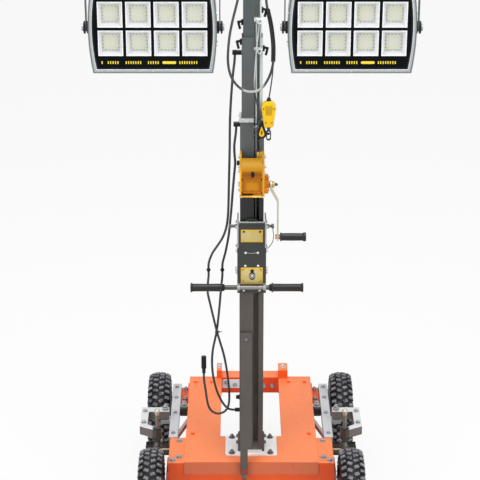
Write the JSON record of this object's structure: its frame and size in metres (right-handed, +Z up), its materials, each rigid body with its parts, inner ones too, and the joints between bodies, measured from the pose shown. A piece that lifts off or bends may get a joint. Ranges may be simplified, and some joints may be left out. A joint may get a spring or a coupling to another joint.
{
  "type": "mobile light tower",
  "caption": "Hand-pushed four-wheel light tower with a folding telescopic mast, hand winch and two floodlights on a cross bar.",
  "frame": {"origin": "on the ground, midway between the axles and the wheel tracks", "axes": "+X to the right seen from the push-bar side, +Y to the rear, +Z up the mast"},
  "size_m": [1.22, 1.043, 2.235],
  "materials": {
    "tyre": "knobby black tyre",
    "rim_red": "dark red paint",
    "orange_paint": "orange gloss paint",
    "grey_steel": "light grey paint",
    "zinc": "zinc plated",
    "post_grey": "brownish grey paint",
    "mast_grey": "dark grey paint",
    "bright_steel": "bright steel",
    "collar": "light grey",
    "grip_rubber": "black rubber",
    "winch_yellow": "orange-yellow paint",
    "crank_zinc": "yellowish zinc",
    "safety_yellow": "yellow",
    "wire_rope": "wire rope",
    "lead_black": "black jacket",
    "lamp_frame": "silver aluminium",
    "lamp_face": "gloss black"
  },
  "bodies": {
    "chassis": {"deck": "orange_paint", "front_channel": "orange_paint", "rear_crossbeam": "orange_paint", "saddle_blocks": "orange_paint", "side_rail_left": "grey_steel", "side_rail_right": "grey_steel", "rail_brackets": "orange_paint", "stub_axles": "rim_red", "mast_base": "zinc", "lower_post": "post_grey", "front_brace": "post_grey", "fold_bracket": "mast_grey", "fold_pin": "bright_steel", "push_bar": "bright_steel", "push_grips": "grip_rubber", "lower_lead_a": "lead_black", "lower_lead_b": "lead_black", "lead_ends": "lead_black"},
    "wheel_front_left": {"tyre_front_left": "tyre", "rim_front_left": "rim_red"},
    "wheel_front_right": {"tyre_front_right": "tyre", "rim_front_right": "rim_red"},
    "wheel_rear_left": {"tyre_rear_left": "tyre", "rim_rear_left": "rim_red"},
    "wheel_rear_right": {"tyre_rear_right": "tyre", "rim_rear_right": "rim_red"},
    "stabiliser_left": {"stabiliser_arm_left": "grey_steel"},
    "jack_left": {"jack_left": "zinc"},
    "floodlight_left": {"lamp_housing_left": "lamp_frame", "lamp_face_left": "lamp_face"},
    "stabiliser_right": {"stabiliser_arm_right": "grey_steel"},
    "jack_right": {"jack_right": "zinc"},
    "floodlight_right": {"lamp_housing_right": "lamp_frame", "lamp_face_right": "lamp_face"},
    "mast": {"outer_stage": "mast_grey", "outer_collar": "collar", "lock_pin": "bright_steel", "winch_frame": "winch_yellow", "winch_drum": "bright_steel", "upper_lead_a": "lead_black", "upper_lead_b": "lead_black", "lead_clamps": "lead_black", "pin_lanyard": "lead_black"},
    "crank": {"crank_arm": "crank_zinc"},
    "crank_handle": {"crank_grip": "grip_rubber"},
    "middle": {"middle_stage": "mast_grey", "middle_rope": "bright_steel"},
    "inner": {"inner_stage": "mast_grey", "inner_rope": "bright_steel", "mast_head": "mast_grey", "yoke_left": "grey_steel", "yoke_right": "grey_steel", "lamp_lead": "lead_black", "lead_sleeve": "lead_black", "arrester_block": "safety_yellow", "arrester_cord": "lead_black", "arrester_hook": "bright_steel", "safety_rope": "wire_rope", "rope_eye": "safety_yellow"}
  },
  "joints": [
    {"name": "wheel_front_left_spin", "type": "hinge", "parent": "chassis", "child": "wheel_front_left", "pos_m": [-0.39, -0.3415, 0.18], "axis": [1, 0, 0], "continuous": true},
    {"name": "wheel_front_right_spin", "type": "hinge", "parent": "chassis", "child": "wheel_front_right", "pos_m": [0.39, -0.3415, 0.18], "axis": [1, 0, 0], "continuous": true},
    {"name": "wheel_rear_left_spin", "type": "hinge", "parent": "chassis", "child": "wheel_rear_left", "pos_m": [-0.39, 0.3415, 0.18], "axis": [1, 0, 0], "continuous": true},
    {"name": "wheel_rear_right_spin", "type": "hinge", "parent": "chassis", "child": "wheel_rear_right", "pos_m": [0.39, 0.3415, 0.18], "axis": [1, 0, 0], "continuous": true},
    {"name": "stabiliser_left_swing", "type": "hinge", "parent": "chassis", "child": "stabiliser_left", "pos_m": [-0.352, 0.07, 0.32], "axis": [0, 0, -1], "range_deg": [0, 90]},
    {"name": "jack_left_screw", "type": "slide", "parent": "stabiliser_left", "child": "jack_left", "axis": [0, 0, -1], "range_m": [0, 0.06]},
    {"name": "stabiliser_right_swing", "type": "hinge", "parent": "chassis", "child": "stabiliser_right", "pos_m": [0.352, 0.07, 0.32], "axis": [0, 0, 1], "range_deg": [0, 90]},
    {"name": "jack_right_screw", "type": "slide", "parent": "stabiliser_right", "child": "jack_right", "axis": [0, 0, -1], "range_m": [0, 0.06]},
    {"name": "mast_fold", "type": "hinge", "parent": "chassis", "child": "mast", "pos_m": [0, -0.12, 1.035], "axis": [-1, 0, 0], "range_deg": [0, 90]},
    {"name": "middle_slide", "type": "slide", "parent": "mast", "child": "middle", "axis": [0, 0, 1], "range_m": [0, 0.42]},
    {"name": "inner_slide", "type": "slide", "parent": "middle", "child": "inner", "axis": [0, 0, 1], "range_m": [0, 0.42]},
    {"name": "crank_turn", "type": "hinge", "parent": "mast", "child": "crank", "pos_m": [0.08, -0.288, 1.437], "axis": [1, 0, 0], "range_deg": [0, 3601]},
    {"name": "crank_handle_spin", "type": "hinge", "parent": "crank", "child": "crank_handle", "pos_m": [0.15, -0.288, 1.233], "axis": [1, 0, 0], "continuous": true},
    {"name": "floodlight_left_tilt", "type": "hinge", "parent": "inner", "child": "floodlight_left", "pos_m": [-0.355, -0.19, 1.997], "axis": [1, 0, 0], "range_deg": [-60, 45]},
    {"name": "floodlight_right_tilt", "type": "hinge", "parent": "inner", "child": "floodlight_right", "pos_m": [0.355, -0.19, 1.997], "axis": [1, 0, 0], "range_deg": [-60, 45]}
  ],
  "couplings": [
    {"joint": "inner_slide", "follows": "middle_slide", "ratio": 1},
    {"joint": "crank_turn", "follows": "middle_slide", "rad_per_m": 149.6}
  ]
}
